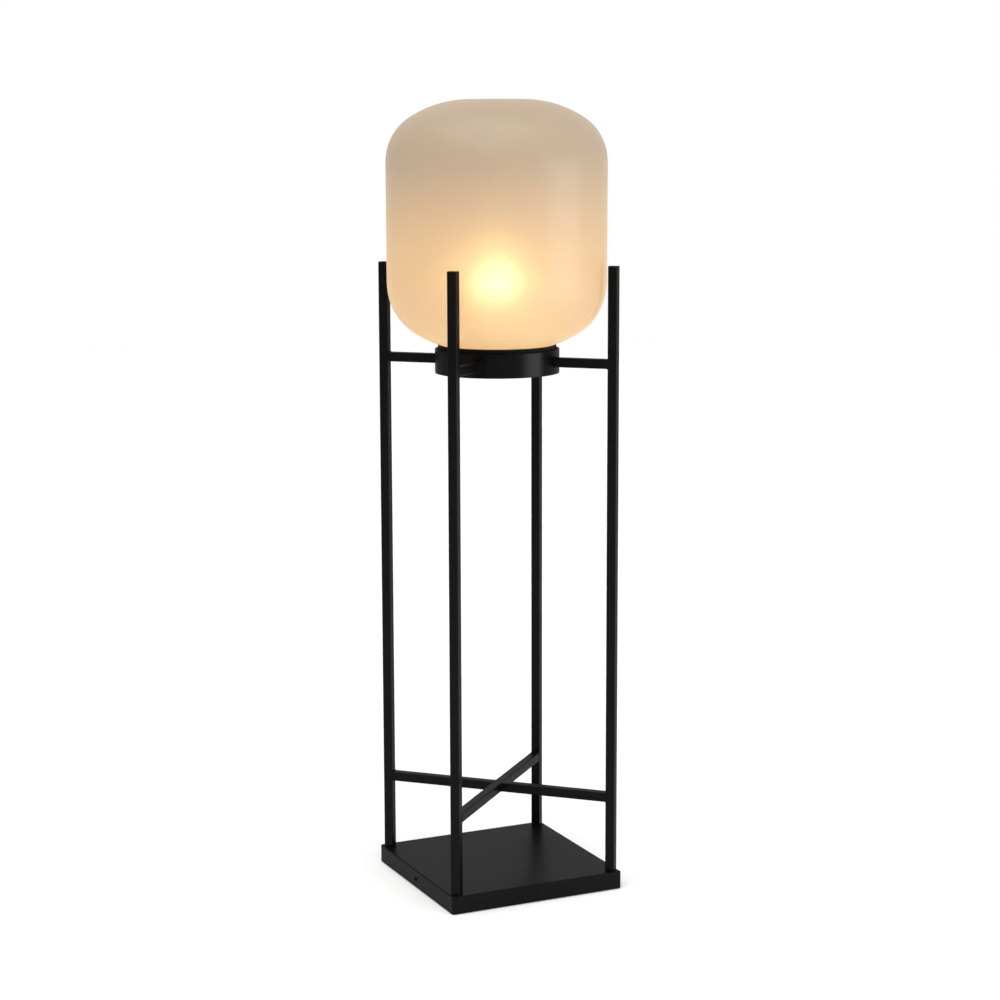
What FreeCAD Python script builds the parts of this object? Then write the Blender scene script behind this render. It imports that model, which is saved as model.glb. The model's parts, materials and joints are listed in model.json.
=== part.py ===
"""Lantern floor lamp: a frosted glass jar stands in a steel ring that four square posts carry.

Millimetres, +Z up. The origin is on the floor under the middle of the square base, and the front of the
lamp faces -Y. The lead comes in through the back skirt and climbs inside the back right post.
"""
import FreeCAD
import Part

import math
import os

Vector = FreeCAD.Vector

# ---- Base -------------------------------------------------------------------------------------------
base_height = 28.0
base_sheet = 1.5
base_corner_r = 4.0
base_edge_r = 2.0
foot_gap = 1.5                # the pads hold the skirt this far off the floor

cover_sheet = 1.2
cover_recess = 3.0            # the bottom cover lies this far up inside the skirt
cover_play = 0.5              # between the cover and the inside of the skirt
tab_width = 30.0
tab_height = 17.0
side_screw_height = 13.0      # above the lower edge of the skirt

weight_margin = 15.0          # from the edge of the cover to the weight, for tabs, nuts and screws
weight_height = 12.0
weight_corner_r = 8.0
wiring_bay_x = 105.0          # notch in the weight's back right corner for the wiring
wiring_bay_y = 45.0
weight_screw_inset_x = 23.0   # screws from the sides of the weight
weight_screw_inset_y = 68.0

pad_r = 12.0
pad_inset = 26.0              # pad centre from the outside of the skirt

# ---- Frame ------------------------------------------------------------------------------------------
tube_side = 15.0
tube_wall = 1.2
tube_corner_r = 1.3
tube_inner_corner_r = 0.3
post_length = 980.0
post_clearance = 11.38        # between the glass and the inward faces of the posts
post_margin = 2.3             # base outside the outer corners of the posts
cap_thickness = 1.5
cap_edge = 0.4                # bevel round the top of a cap
cap_spigot = 8.0
brace_height = 123.0          # middle of the X brace above the base
arm_drop = 153.5              # middle of the arms below the post tops
foot_plug_height = 22.0
foot_plug_thread = 15.4       # depth that the nipple is screwed into its plug
plug_play = 0.1

# ---- Ring, dish and trim ----------------------------------------------------------------------------
ring_wall = 3.0
ring_height = 38.0
ring_lug_width = 12.0
ring_lug_depth = 14.0
ring_lug_azimuths = (90.0, 210.0, 330.0)
ring_cover_recess = 3.0
ring_cover_play = 0.3

seat_step = 17.8              # rim of the dish outside the glass neck
dish_play = 2.7               # between the dish and the ring
dish_screw_play = 0.2         # between the screw heads and the bend of the dish
dish_sheet = 1.2
dish_depth = 17.3
dish_bend_r = 3.0
dish_drop = 12.5              # underside of the dish below the top of the ring

trim_side = 0.8               # edge trim around the rim of the dish
trim_grip = 5.0
trim_top = 2.0

# ---- Shade ------------------------------------------------------------------------------------------
shade_r = 175.0
shade_wall = 3.2
shade_straight = 183.5        # height of the cylindrical middle
crown_flat_r = 42.0
crown_side_r = 83.0           # bend between the wall and the crown
crown_lift = 14.5             # rise of the crown above that of its side bend
belly_upper_r = 143.0         # the belly is three tangent arcs, from the wall down
belly_upper_turn = 7.5        # degrees turned where each arc hands over to the next
belly_middle_r = 93.5
belly_middle_turn = 58.0
belly_lower_r = 184.0
neck_r = 76.0
neck_bend_r = 6.0
neck_floor_gap = 3.0          # neck end above the dish
neck_edge = 0.8               # ground bevel at the end of the neck
glass_gap = 0.3               # glass above the trim

# ---- Lampholder and bulb (27 mm screw size) ----------------------------------------------------------
nipple_r = 5.0
nipple_bore_r = 3.6
nipple_nut_flats = 14.0
nipple_nut_height = 3.0
nipple_washer_r = 8.5
washer_thickness = 1.0
nipple_below_dish = 6.0
nipple_above_dish = 10.0
washer_teeth = 8
washer_tooth_depth = 1.2
washer_tooth_width = 1.6

holder_wall = 2.2
holder_lower_height = 26.0
holder_upper_height = 29.5
holder_floor = 3.5
holder_top_taper = 0.9        # narrowing at the top of the upper shell
holder_top_edge = 3.0         # height of that narrowing
holder_rim = 2.0              # thickness of its inturned rim
holder_rim_play = 0.6         # between the rim and the inside of the screw shell
holder_foot_taper = 7.5
holder_cone = 13.0            # height of the tapered foot of the lower shell
holder_ledge = 2.0            # ledge in the lower shell that the insert stands on
insert_rise = 3.0             # boss of the insert above the joint of the two shells
insert_play = 0.4
insert_room = 3.2             # between the screw shell and the wall of the holder
insert_well_depth = 8.0       # terminal wells in the foot of the insert
insert_well_place = 9.0       # wells from the axis
screw_play = 0.65             # between the cap and the screw shell
screw_shell_wall = 0.35
screw_shell_height = 24.0
screw_shell_flange = 0.8
contact_rise = 4.0            # bulb's tip above the insert
contact_gap = 0.3             # spring contact below the bulb's tip
contact_width = 7.0
contact_sheet = 0.6
contact_foot = 9.0            # length of the part that lies on the insert
contact_tip = 7.5             # length of the part under the bulb
contact_back = 5.0            # bend behind the axis
contact_front = 1.0           # foot in front of the axis

bulb_r = 30.0
bulb_length = 108.0
bulb_cap_r = 13.1
bulb_cap_sheet = 0.35
bulb_cap_chamfer = 2.0
bulb_tip_r = 4.8
bulb_tip_height = 0.6
bulb_insulator_height = 3.0
bulb_insulator_step = 2.5     # insulator inside the cap
bulb_insulator_lap = 1.0
bulb_neck_step = 0.5          # neck of the body outside the cap
bulb_neck_height = 2.0        # straight part of the neck above the cap
bulb_seat_height = 26.5       # top of the cap above the tip contact

# ---- Lead and wiring --------------------------------------------------------------------------------
lead_r = 2.5
lead_bend_r = 13.0            # at the foot and the top of the wired post
lead_base_gap = 1.3           # lead above the bottom cover
lead_run_length = 36.0        # run beside the terminal block before the lead turns to the post
lead_turn_r = 40.0
lead_drop_r = 52.0            # bends of the fall from the arm to the ring cover
lead_drop_start = 14.5        # start of the fall inside the ring wall
lead_drop_end = 48.5          # end of the fall inside the ring wall
lead_floor_gap = 0.8          # lead above the ring cover
lead_window_r = 5.8           # hole in the post wall behind the arm
ring_hole_r = 4.6
bushing_wall = 1.2
bushing_flange = 1.6
bushing_flange_thickness = 1.5

block_room_x = 11.0           # terminal block from the inner sides of the wiring bay
block_room_y = 13.0
block_length = 18.0
block_width = 22.0
block_height = 11.0
block_pitch = 10.0
sleeve_r = 2.2
sleeve_bore_r = 1.4
sleeve_inset = 1.0            # brass sleeves inside the ends of the block
terminal_screw_height = 4.18  # top of the clamping screws above their sleeve's axis

inlet_drop = 9.0              # cord bushing below the top of the base
inlet_barb = 0.7
inlet_bore_r = 3.6
inlet_hole_r = 4.8
inlet_flange_r = 6.4
inlet_flange_thickness = 1.5
inlet_tail = 3.0

# ---- Fasteners --------------------------------------------------------------------------------------
m6_r = 3.0
m6_head_flats = 10.0
m6_head_height = 4.0
m6_washer_r = 6.0
m6_length = 16.0
m4_r = 2.0
m4_head_r = 3.6
m4_head_height = 2.2
m4_length = 9.0
m4_nut_flats = 7.0
m4_nut_height = 3.2
m3_r = 1.5
m3_head_r = 2.8
m3_head_height = 1.8
m3_length = 8.0
head_rim_share = 0.4          # upright rim of a screw head, as a share of its height
head_crown_share = 0.6        # flat top of the head, as a share of its radius
socket_share = 1.3            # flats of the socket, as a share of the thread's radius
hole_play = 0.3               # clearance holes
thread_play = 0.04            # tapped holes
through = 1.0                 # cutters run this far past the faces that they open

# ---- Heights and places worked out from the sizes above ----------------------------------------------
skirt_z = foot_gap
base_top = skirt_z + base_height
shell_under = base_top - base_sheet
cover_z = skirt_z + cover_recess
cover_top = cover_z + cover_sheet
weight_top = cover_top + weight_height
side_screw_z = skirt_z + side_screw_height
inlet_z = base_top - inlet_drop

post_face = shade_r + post_clearance         # faces that look at the lamp's axis
post_radius = post_face + tube_side / 2
post_xy = post_radius / math.sqrt(2)
base_side = 2 * (post_xy + tube_side / math.sqrt(2) + post_margin)
cover_side = base_side - 2 * (base_sheet + cover_play)
weight_side = cover_side - 2 * weight_margin
weight_screw_x = weight_side / 2 - weight_screw_inset_x
weight_screw_y = weight_side / 2 - weight_screw_inset_y
bay_x = weight_side / 2 - wiring_bay_x       # inner sides of the wiring bay
bay_y = weight_side / 2 - wiring_bay_y
block_x = bay_x + block_room_x + block_length / 2
block_y = bay_y + block_room_y + block_width / 2
lead_low_z = cover_top + lead_base_gap + lead_r

post_top = base_top + post_length
tube_inner = tube_side - 2 * tube_wall
brace_z = base_top + brace_height
arm_z = post_top - arm_drop

dish_r = neck_r + seat_step
ring_inner_r = dish_r + dish_play
ring_r = ring_inner_r + ring_wall
ring_z = arm_z - ring_height / 2
ring_top = ring_z + ring_height
ring_cover_z = ring_z + ring_cover_recess
ring_cover_top = ring_cover_z + cover_sheet
ring_screw_r = dish_r - dish_bend_r - m4_head_r - dish_screw_play

dish_z = ring_top - dish_drop
dish_floor = dish_z + dish_sheet
dish_rim = dish_z + dish_depth
trim_inner_r = dish_r - dish_sheet - trim_side
trim_outer_r = dish_r + trim_side
trim_rest = dish_rim + trim_top
trim_seat_r = trim_inner_r + trim_side       # inner edge of the trim's flat top
neck_z = dish_floor + neck_floor_gap
crown_rise = crown_side_r + crown_lift

screw_shell_r = bulb_cap_r + screw_play
bulb_neck_r = bulb_cap_r + bulb_neck_step
holder_inner_r = screw_shell_r + screw_shell_wall + insert_room
holder_r = holder_inner_r + holder_wall
insert_r = holder_inner_r - insert_play
holder_z = dish_floor + nipple_nut_height
holder_split = holder_z + holder_lower_height
holder_top = holder_split + holder_upper_height
insert_z = holder_z + holder_cone
insert_top = holder_split + insert_rise
bulb_tip_z = insert_top + contact_rise

corners = {"front_left": 225.0, "front_right": 315.0, "back_left": 135.0, "back_right": 45.0}
sides = (0.0, 90.0, 180.0, 270.0)
wired = "back_right"


# ---- Drawing helpers --------------------------------------------------------------------------------
def prism(size_x, size_y, low, high, x=0.0, y=0.0):
    """Rectangular block centred on (x, y)."""
    corner = Vector(x - size_x / 2, y - size_y / 2, low)
    return Part.makeBox(size_x, size_y, high - low, corner)


def disc(radius, low, high, x=0.0, y=0.0):
    return Part.makeCylinder(radius, high - low, Vector(x, y, low))


def sleeve(outer, inner, low, high, x=0.0, y=0.0):
    return disc(outer, low, high, x, y).cut(disc(inner, low - through, high + through, x, y))


def hexagon(flats, low, high, x=0.0, y=0.0):
    """Hexagonal prism given by its width across flats."""
    across = flats / math.sqrt(3)
    turns = [math.radians(60 * k) for k in range(7)]
    points = [Vector(x + across * math.cos(t), y + across * math.sin(t), low) for t in turns]
    return Part.Face(Part.makePolygon(points)).extrude(Vector(0, 0, high - low))


def rounded_prism(side_x, side_y, radius, low, high):
    """Upright block whose four vertical edges are rounded."""
    block = prism(side_x, side_y, low, high)
    uprights = [e for e in block.Edges if abs(e.Vertexes[0].Z - e.Vertexes[1].Z) > (high - low) / 2]
    return block.makeFillet(radius, uprights)


def edges_at(shape, level):
    """Edges that lie wholly in the horizontal plane at this level."""
    return [e for e in shape.Edges if max(abs(v.Z - level) for v in e.Vertexes) < 1e-6
            and abs(e.BoundBox.ZMax - level) < 1e-6 and abs(e.BoundBox.ZMin - level) < 1e-6]


def turned(shape, azimuth):
    """The shape turned about the lamp's axis."""
    copy = shape.copy()
    copy.rotate(Vector(0, 0, 0), Vector(0, 0, 1), azimuth)
    return copy


def moved(shape, x, y, z):
    copy = shape.copy()
    copy.translate(Vector(x, y, z))
    return copy


def lying(shape, azimuth, height):
    """A shape drawn along +Z, laid out along the radius at this azimuth and height."""
    copy = shape.copy()
    copy.rotate(Vector(0, 0, 0), Vector(0, 1, 0), 90)
    copy.translate(Vector(0, 0, height))
    return turned(copy, azimuth)


def at(radius, height):
    return Vector(radius, 0, height)


def line(start, end):
    return Part.LineSegment(at(*start), at(*end)).toShape()


def arc(centre, radius, start, end):
    """Arc about a (radius, height) centre between two angles in degrees, 0 outwards and 90 up."""
    turns = [math.radians(t) for t in (start, (start + end) / 2, end)]
    points = [at(centre[0] + radius * math.cos(t), centre[1] + radius * math.sin(t)) for t in turns]
    return Part.Arc(*points).toShape()


def on_arc(centre, radius, turn):
    """The (radius, height) point at this angle on an arc."""
    turn = math.radians(turn)
    return centre[0] + radius * math.cos(turn), centre[1] + radius * math.sin(turn)


def bearing(start, end):
    """Angle in degrees of the way from one (radius, height) point to another."""
    return math.degrees(math.atan2(end[1] - start[1], end[0] - start[0]))


def revolved(edges):
    """Solid turned from a closed half section in the XZ plane."""
    wire = Part.Wire(Part.__sortEdges__(edges))
    return Part.Face(wire).revolve(Vector(0, 0, 0), Vector(0, 0, 1), 360)


def outline(points):
    """Closed half section with straight sides."""
    return [line(a, b) for a, b in zip(points, points[1:] + points[:1])]


def around(shape, azimuths):
    return [turned(shape, azimuth) for azimuth in azimuths]


def corner_point(name):
    azimuth = math.radians(corners[name])
    return post_radius * math.cos(azimuth), post_radius * math.sin(azimuth)


def save(name, *solids):
    """Write one node, which holds one piece or a set of like pieces."""
    shape = solids[0] if len(solids) == 1 else Part.makeCompound(list(solids))
    for solid in shape.Solids:
        if not solid.isValid() or solid.Volume <= 0:
            raise ValueError("bad solid in " + name)
    if not shape.Solids:
        raise ValueError("no solid in " + name)
    shape.exportStep("parts/" + name + ".step")


# ---- Fasteners --------------------------------------------------------------------------------------
def hex_bolt(length):
    """M6 bolt pointing up, the underside of its head at height 0."""
    head = hexagon(m6_head_flats, -m6_head_height, 0)
    return head.fuse(disc(m6_r - thread_play, -m6_head_height / 2, length))


def button_screw(radius, head_r, head_height, length):
    """Socket screw pointing up, with a bevelled head below height 0."""
    rim = head_height * head_rim_share
    crown = Part.makeCone(head_r * head_crown_share, head_r, head_height - rim, Vector(0, 0, -head_height))
    socket = hexagon(radius * socket_share, -head_height - through, -rim)
    head = disc(head_r, -rim, 0).fuse(crown).cut(socket)
    return head.fuse(disc(radius - thread_play, -rim / 2, length)).removeSplitter()


def nut(flats, height, bore_r):
    return hexagon(flats, 0, height).cut(disc(bore_r, -through, height + through))


# ---- Base -------------------------------------------------------------------------------------------
def weight_screw_places():
    return [(x, y) for x in (-weight_screw_x, weight_screw_x) for y in (-weight_screw_y, weight_screw_y)]


def skirt_hole(radius):
    """Cutter that opens a hole of this radius in the right side of the skirt."""
    return lying(disc(radius, base_side / 2 - 2 * base_sheet, base_side / 2 + through), 0, 0)


def make_base_shell():
    outer = rounded_prism(base_side, base_side, base_corner_r, skirt_z, base_top)
    outer = outer.makeFillet(base_edge_r, edges_at(outer, base_top))
    inside = base_side - 2 * base_sheet
    inner = rounded_prism(inside, inside, base_corner_r - base_sheet, skirt_z - through, shell_under)
    shell = outer.cut(inner)
    for name in corners:
        x, y = corner_point(name)
        radius = nipple_r if name == wired else m6_r
        shell = shell.cut(disc(radius + hole_play, shell_under - through, base_top + through, x, y))
    shell = shell.cut(around(moved(skirt_hole(m4_r + hole_play), 0, 0, side_screw_z), sides))
    return shell.cut(moved(turned(skirt_hole(inlet_hole_r), 90), block_x, 0, inlet_z))


def make_bottom_cover():
    """Plate with an upturned tab in the middle of each side."""
    plate = rounded_prism(cover_side, cover_side, base_corner_r, cover_z, cover_top)
    tab = prism(cover_sheet, tab_width, cover_z, cover_z + tab_height, (cover_side - cover_sheet) / 2)
    tab_hole = disc(m4_r + hole_play, cover_side / 2 - 2 * cover_sheet, cover_side / 2 + through)
    cover = plate.fuse(around(tab.cut(lying(tab_hole, 0, side_screw_z)), sides))
    for x, y in weight_screw_places():
        cover = cover.cut(disc(m4_r + hole_play, cover_z - through, cover_top + through, x, y))
    cover = cover.cut(disc(m3_r + hole_play, cover_z - through, cover_top + through, block_x, block_y))
    return cover.removeSplitter()


def make_base_weight():
    """Cast slab with the wiring bay cut from its back right corner."""
    slab = rounded_prism(weight_side, weight_side, weight_corner_r, cover_top, weight_top)
    bay = prism(weight_side, weight_side, cover_top - through, weight_top + through,
                bay_x + weight_side / 2, bay_y + weight_side / 2)
    slab = slab.cut(bay)
    for x, y in weight_screw_places():
        slab = slab.cut(disc(m4_r, cover_top - through, cover_top + m4_length, x, y))
    return slab


def make_weight_screws():
    screw = button_screw(m4_r, m4_head_r, m4_head_height, m4_length)
    return [moved(screw, x, y, cover_z) for x, y in weight_screw_places()]


def make_side_screws():
    """Screws that point inwards through the skirt into the tabs of the cover."""
    screw = button_screw(m4_r, m4_head_r, m4_head_height, m4_length)
    screw.rotate(Vector(0, 0, 0), Vector(0, 1, 0), -90)
    return around(moved(screw, base_side / 2, 0, side_screw_z), sides)


def make_tab_nuts():
    piece = nut(m4_nut_flats, m4_nut_height, m4_r)
    inside = cover_side / 2 - cover_sheet - m4_nut_height
    return [lying(moved(piece, 0, 0, inside), azimuth, side_screw_z) for azimuth in sides]


def make_foot_pads():
    place = base_side / 2 - pad_inset
    return [disc(pad_r, 0, cover_z, x, y) for x in (-place, place) for y in (-place, place)]


def make_cord_bushing():
    """Snap-in bushing in the back skirt, with the bore for the supply cord."""
    face = base_side / 2
    tail = face - base_sheet - inlet_tail
    front = face + inlet_flange_thickness
    flange = disc(inlet_flange_r, face, front)
    barb = disc(inlet_hole_r + inlet_barb, tail, face - base_sheet)
    bushing = disc(inlet_hole_r, tail, front).fuse([flange, barb]).removeSplitter()
    bushing = bushing.cut(disc(inlet_bore_r, tail - through, front + through))
    return moved(lying(bushing, 90, 0), block_x, 0, inlet_z)


# ---- Wiring in the base -----------------------------------------------------------------------------
def pole_places():
    return (block_y - block_pitch / 2, block_y + block_pitch / 2)


def make_terminal_block():
    """Two-pole block with a bore per pole and a screw well at each end."""
    top = cover_top + block_height
    middle = cover_top + block_height / 2
    block = prism(block_length, block_width, cover_top, top, block_x, block_y)
    for y in pole_places():
        bore = lying(disc(sleeve_r, -block_length, block_length), 0, middle)
        block = block.cut(moved(bore, block_x, y, 0))
        for x in (block_x - block_length / 4, block_x + block_length / 4):
            block = block.cut(disc(m3_r + hole_play, middle, top + through, x, y))
    return block.cut(disc(m3_r, cover_top - through, cover_top + m3_length, block_x, block_y))


def make_terminal_sleeves():
    middle = cover_top + block_height / 2
    reach = block_length / 2 - sleeve_inset
    tube = sleeve(sleeve_r, sleeve_bore_r, -reach, reach)
    sleeves = []
    for y in pole_places():
        piece = moved(lying(tube, 0, middle), block_x, y, 0)
        for x in (block_x - block_length / 4, block_x + block_length / 4):
            piece = piece.cut(disc(m3_r, middle, middle + block_height / 2, x, y))
        sleeves.append(piece)
    return sleeves


def make_terminal_screws():
    middle = cover_top + block_height / 2
    top = middle + terminal_screw_height
    screws = []
    for y in pole_places():
        for x in (block_x - block_length / 4, block_x + block_length / 4):
            screws.append(disc(m3_r - thread_play, middle + sleeve_bore_r / 2, top, x, y))
    return screws


def make_block_screw():
    screw = button_screw(m3_r, m3_head_r, m3_head_height, m3_length)
    return moved(screw, block_x, block_y, cover_z)


def lead_points():
    """Corners of the lead's route and the radius of the bend at each."""
    azimuth = math.radians(corners[wired])
    way = Vector(math.cos(azimuth), math.sin(azimuth), 0)
    low = ring_cover_top + lead_r + lead_floor_gap
    foot = way * post_radius
    rise = nipple_bottom() - low
    return [
        (Vector(block_x + block_length / 2, block_y, lead_low_z), None),
        (Vector(block_x + block_length / 2 + lead_run_length, block_y, lead_low_z), lead_turn_r),
        (Vector(foot.x, foot.y, lead_low_z), lead_bend_r),
        (Vector(foot.x, foot.y, arm_z), lead_bend_r),
        (way * (ring_inner_r - lead_drop_start) + Vector(0, 0, arm_z), lead_drop_r),
        (way * (ring_inner_r - lead_drop_end) + Vector(0, 0, low), lead_drop_r),
        (Vector(0, 0, low), rise),
        (Vector(0, 0, insert_z), None),
    ]


def nipple_bottom():
    return dish_z - nipple_below_dish


def make_lamp_lead():
    """Round lead swept along straight runs that tangent arcs join."""
    route = lead_points()
    edges = []
    start = route[0][0]
    for k in range(1, len(route) - 1):
        corner, radius = route[k]
        before = (corner - route[k - 1][0]).normalize()
        after = (route[k + 1][0] - corner).normalize()
        turn = before.getAngle(after)
        leg = radius * math.tan(turn / 2)
        inward = (after - before).normalize()
        middle = corner + inward * (radius / math.cos(turn / 2) - radius)
        first = corner - before * leg
        last = corner + after * leg
        edges.append(Part.LineSegment(start, first).toShape())
        edges.append(Part.Arc(first, middle, last).toShape())
        print("lead bend", k, "radius", round(radius, 1))
        start = last
    edges.append(Part.LineSegment(start, route[-1][0]).toShape())
    path = Part.Wire(edges)
    way = (route[1][0] - route[0][0]).normalize()
    section = Part.Wire(Part.makeCircle(lead_r, route[0][0], way))
    lead = path.makePipeShell([section], True, False)
    share = lead.Volume / (math.pi * lead_r ** 2 * path.Length)
    print("lead length", round(path.Length, 1), "volume over section times length", round(share, 4))
    return lead


# ---- Frame ------------------------------------------------------------------------------------------
def tube_section(length, low=0.0):
    """Square tube along +Z with rounded corners."""
    high = low + length
    outer = rounded_prism(tube_side, tube_side, tube_corner_r, low, high)
    bore = rounded_prism(tube_inner, tube_inner, tube_inner_corner_r, low - through, high + through)
    return outer.cut(bore)


def make_post(name):
    """Post with its flats square to the diagonal; the wired one has a window behind its arm."""
    tube = tube_section(post_length - cap_thickness, base_top)
    if name == wired:
        window = lying(disc(lead_window_r, -tube_side, 0), 0, arm_z)
        tube = tube.cut(window)
    return turned(moved(tube, post_radius, 0, 0), corners[name])


def make_post_cap(name):
    """Flat cap with a spigot that plugs the top of the tube."""
    plate = rounded_prism(tube_side, tube_side, tube_corner_r, post_top - cap_thickness, post_top)
    plate = plate.makeChamfer(cap_edge, edges_at(plate, post_top))
    side = tube_inner - 2 * plug_play
    spigot = prism(side, side, post_top - cap_thickness - cap_spigot, post_top - cap_thickness)
    return turned(moved(plate.fuse(spigot), post_radius, 0, 0), corners[name])


def make_post_foot(name):
    """Plug in the foot of the tube, tapped from below for the bolt or the nipple."""
    side = tube_inner - 2 * plug_play
    plug = prism(side, side, base_top, base_top + foot_plug_height)
    radius = nipple_r if name == wired else m6_r
    plug = plug.cut(disc(radius, base_top - through, base_top + foot_plug_height + through))
    return turned(moved(plug, post_radius, 0, 0), corners[name])


def bolted_corners():
    return [name for name in corners if name != wired]


def make_post_bolts():
    bolt = moved(hex_bolt(m6_length), 0, 0, shell_under - washer_thickness)
    return [moved(bolt, *corner_point(name), 0) for name in bolted_corners()]


def make_post_washers():
    washer = sleeve(m6_washer_r, m6_r + hole_play, shell_under - washer_thickness, shell_under)
    return [moved(washer, *corner_point(name), 0) for name in bolted_corners()]


def make_lead_nipple():
    """Hollow nipple that joins the wired post to the base and lets the lead through."""
    x, y = corner_point(wired)
    low = lead_low_z + lead_bend_r
    return sleeve(nipple_r - thread_play, nipple_bore_r, low, base_top + foot_plug_thread, x, y)


def make_lead_nut():
    x, y = corner_point(wired)
    low = shell_under - washer_thickness - nipple_nut_height
    return moved(nut(nipple_nut_flats, nipple_nut_height, nipple_r), x, y, low)


def make_lead_washer():
    x, y = corner_point(wired)
    return sleeve(nipple_washer_r, nipple_r + hole_play, shell_under - washer_thickness, shell_under, x, y)


def make_brace_bar():
    """The bar that runs through from corner to corner."""
    return lying(tube_section(2 * post_face, -post_face), corners["front_left"], brace_z)


def make_brace_half(name):
    """Half bar from the middle of the through bar to its post."""
    return lying(tube_section(post_face - tube_side / 2, tube_side / 2), corners[name], brace_z)


def make_arm(name):
    """Arm from its post to the ring, with its inner end coped to the ring's round."""
    reach = ring_r - tube_side
    arm = lying(tube_section(post_face - reach, reach), corners[name], arm_z)
    return arm.cut(disc(ring_r, arm_z - tube_side, arm_z + tube_side))


# ---- Ring and dish ----------------------------------------------------------------------------------
def make_ring_band():
    band = sleeve(ring_r, ring_inner_r, ring_z, ring_top)
    hole = disc(ring_hole_r, ring_inner_r - ring_wall, ring_r + ring_wall)
    return band.cut(lying(hole, corners[wired], arm_z))


def make_ring_lugs():
    """Blocks welded inside the ring, tapped from both ends."""
    lug = prism(2 * ring_lug_depth, ring_lug_width, ring_cover_top, dish_z, ring_inner_r)
    lug = lug.common(disc(ring_inner_r, ring_cover_top, dish_z))
    lug = lug.cut(disc(m4_r, dish_z - m4_length, dish_z + through, ring_screw_r))
    lug = lug.cut(disc(m3_r, ring_cover_top - through, ring_cover_top + m3_length, ring_screw_r))
    return around(lug, ring_lug_azimuths)


def make_ring_cover():
    cover = disc(ring_inner_r - ring_cover_play, ring_cover_z, ring_cover_top)
    hole = disc(m3_r + hole_play, ring_cover_z - through, ring_cover_top + through, ring_screw_r)
    return cover.cut(around(hole, ring_lug_azimuths))


def make_ring_cover_screws():
    screw = button_screw(m3_r, m3_head_r, m3_head_height, m3_length)
    return around(moved(screw, ring_screw_r, 0, ring_cover_z), ring_lug_azimuths)


def make_lead_bushing():
    """Bushing that lines the hole through the ring, with its flange inside."""
    flange = disc(ring_hole_r + bushing_flange, ring_inner_r - bushing_flange_thickness, ring_inner_r)
    lining = disc(ring_hole_r, ring_inner_r - bushing_flange_thickness, ring_r)
    bushing = lining.fuse(flange).removeSplitter()
    bushing = bushing.cut(disc(ring_hole_r - bushing_wall, 0, 2 * ring_r))
    rounding = sleeve(2 * ring_r, ring_inner_r, ring_z, ring_top)
    flange_seat = disc(ring_hole_r + bushing_flange + through, ring_inner_r - ring_wall, ring_inner_r)
    seat = lying(flange_seat.cut(disc(ring_hole_r, 0, 2 * ring_r)), corners[wired], arm_z)
    return lying(bushing, corners[wired], arm_z).cut(seat.common(rounding))


def make_light_dish():
    """Pressed dish with a rounded foot, holed for the nipple and its three screws."""
    inner = dish_r - dish_sheet
    centre = (dish_r - dish_bend_r, dish_z + dish_bend_r)
    bend_in = dish_bend_r - dish_sheet
    edges = [
        line((0, dish_z), (centre[0], dish_z)),
        arc(centre, dish_bend_r, -90, 0),
        line((dish_r, centre[1]), (dish_r, dish_rim)),
        line((dish_r, dish_rim), (inner, dish_rim)),
        line((inner, dish_rim), (inner, centre[1])),
        arc(centre, bend_in, 0, -90),
        line((centre[0], dish_floor), (0, dish_floor)),
        line((0, dish_floor), (0, dish_z)),
    ]
    dish = revolved(edges)
    hole = disc(m4_r + hole_play, dish_z - through, dish_floor + through, ring_screw_r)
    dish = dish.cut(around(hole, ring_lug_azimuths))
    return dish.cut(disc(nipple_r + hole_play, dish_z - through, dish_floor + through))


def make_dish_screws():
    """Screws that point down through the dish into the lugs."""
    screw = button_screw(m4_r, m4_head_r, m4_head_height, m4_length)
    screw.rotate(Vector(0, 0, 0), Vector(1, 0, 0), 180)
    return around(moved(screw, ring_screw_r, 0, dish_floor), ring_lug_azimuths)


def make_rim_trim():
    """Soft edge trim that grips the rim of the dish and carries the glass."""
    low = dish_rim - trim_grip
    trim = sleeve(trim_outer_r, trim_inner_r, low, trim_rest)
    trim = trim.makeChamfer(trim_side, edges_at(trim, trim_rest))
    return trim.cut(sleeve(dish_r, dish_r - dish_sheet, low - through, dish_rim))


# ---- Shade ------------------------------------------------------------------------------------------
def belly_centres():
    """Centres of the belly's arcs, as (radius, height above the cylinder's lower end)."""
    upper = (shade_r - belly_upper_r, 0.0)
    middle = on_arc(upper, belly_upper_r - belly_middle_r, -belly_upper_turn)
    lower = on_arc(middle, belly_middle_r - belly_lower_r, -belly_middle_turn)
    return upper, middle, lower


def belly_drop(radius):
    """How far below the cylinder the underside of the glass is, near the neck."""
    lower = belly_centres()[2]
    return math.sqrt(belly_lower_r ** 2 - (radius - lower[0]) ** 2) - lower[1]


def neck_bend_centre():
    """Centre of the bend that leads from the belly into the neck."""
    lower = belly_centres()[2]
    across = neck_r + neck_bend_r - lower[0]
    return neck_r + neck_bend_r, lower[1] - math.sqrt((belly_lower_r + neck_bend_r) ** 2 - across ** 2)


def shade_cylinder_z():
    """Lower end of the cylinder, so that the belly rests on the trim."""
    return trim_rest + glass_gap + belly_drop(trim_seat_r)


def crown_centres():
    """Centres of the crown's top and side arcs above the cylinder's upper end, and the top arc's radius."""
    width = shade_r - crown_flat_r
    top_r = (width ** 2 - 2 * width * crown_side_r + crown_rise ** 2) / (2 * (crown_rise - crown_side_r))
    return (crown_flat_r, crown_rise - top_r), (shade_r - crown_side_r, 0.0), top_r


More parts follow.
